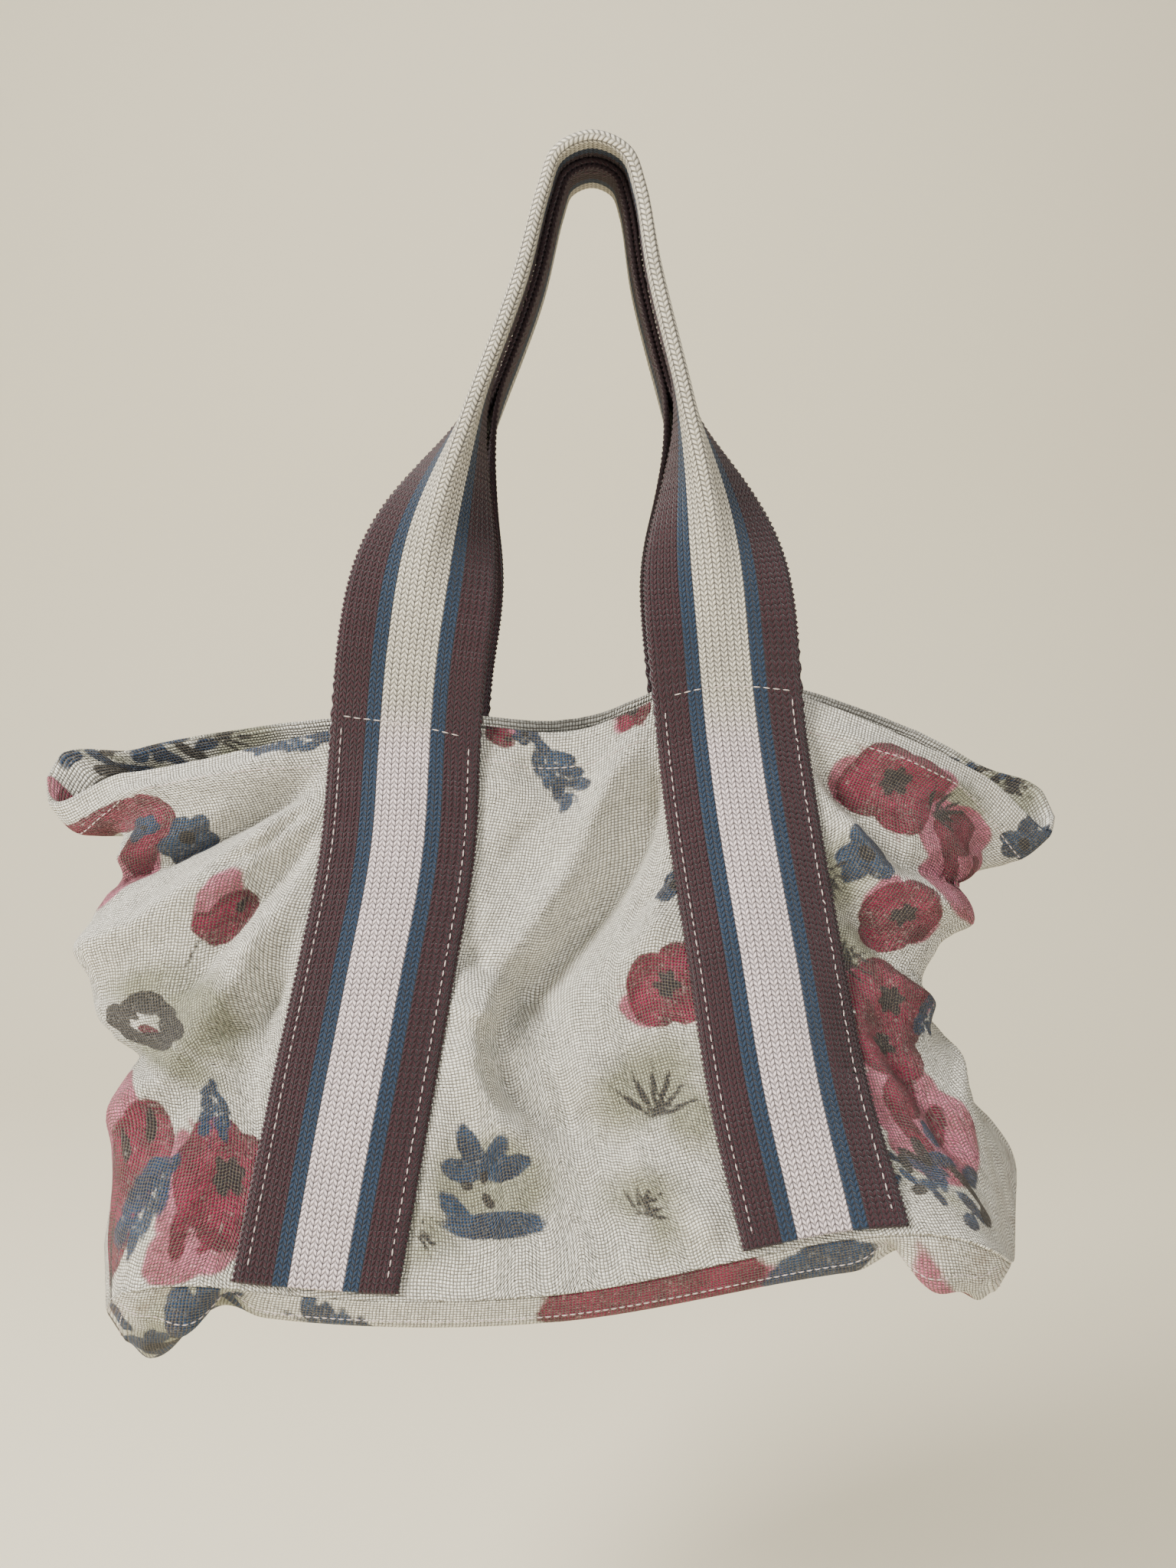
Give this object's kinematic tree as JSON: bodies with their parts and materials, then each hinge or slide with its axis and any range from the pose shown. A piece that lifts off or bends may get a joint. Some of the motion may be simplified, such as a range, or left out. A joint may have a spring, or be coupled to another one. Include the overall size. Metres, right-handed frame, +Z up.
{
  "type": "canvas tote bag",
  "caption": "Printed canvas tote bag hanging by two striped webbing handles, with a flared mouth, a boxed base and folded grips.",
  "frame": {"origin": "hang point: the underside of the two nested grips, where a peg or hook holds the bag up", "axes": "+Z up, +X to the right seen from the front, the front faces -Y"},
  "size_m": [0.4349, 0.1655, 0.4822],
  "materials": {
    "printed_canvas": "coarse plain-weave cotton canvas with a watercolour flower print",
    "webbing": "chain-knit cotton webbing, striped maroon, blue, cream, blue, maroon",
    "thread": "pale spun sewing thread"
  },
  "bodies": {
    "bag": {"front_panel": "printed_canvas", "front_hem_turning": "printed_canvas", "front_hem_stitch_left": "thread", "front_hem_stitch_middle": "thread", "front_hem_stitch_right": "thread", "front_strap_left": "webbing", "front_strap_stitch_left": "thread", "front_strap_right": "webbing", "front_strap_stitch_right": "thread", "back_panel": "printed_canvas", "back_hem_turning": "printed_canvas", "back_hem_stitch_left": "thread", "back_hem_stitch_middle": "thread", "back_hem_stitch_right": "thread", "back_strap_left": "webbing", "back_strap_stitch_left": "thread", "back_strap_right": "webbing", "back_strap_stitch_right": "thread", "base_panel": "printed_canvas", "front_base_welt": "printed_canvas", "front_base_stitch": "thread", "back_base_welt": "printed_canvas", "back_base_stitch": "thread", "left_end_base_welt": "printed_canvas", "left_end_base_stitch": "thread", "right_end_base_welt": "printed_canvas", "right_end_base_stitch": "thread"},
    "front_handle": {"front_handle": "webbing", "front_grip_stitch": "thread"},
    "back_handle": {"back_handle": "webbing", "back_grip_stitch": "thread"}
  },
  "joints": [
    {"name": "front_handle_fold", "type": "hinge", "parent": "bag", "child": "front_handle", "pos_m": [-0.0113, -0.0374, -0.22595], "axis": [0.9928, 0, 0.1195], "range_deg": [0, 138]},
    {"name": "back_handle_fold", "type": "hinge", "parent": "bag", "child": "back_handle", "pos_m": [-0.0113, 0.0164, -0.2249], "axis": [-0.9928, 0, -0.1195], "range_deg": [0, 138]}
  ]
}
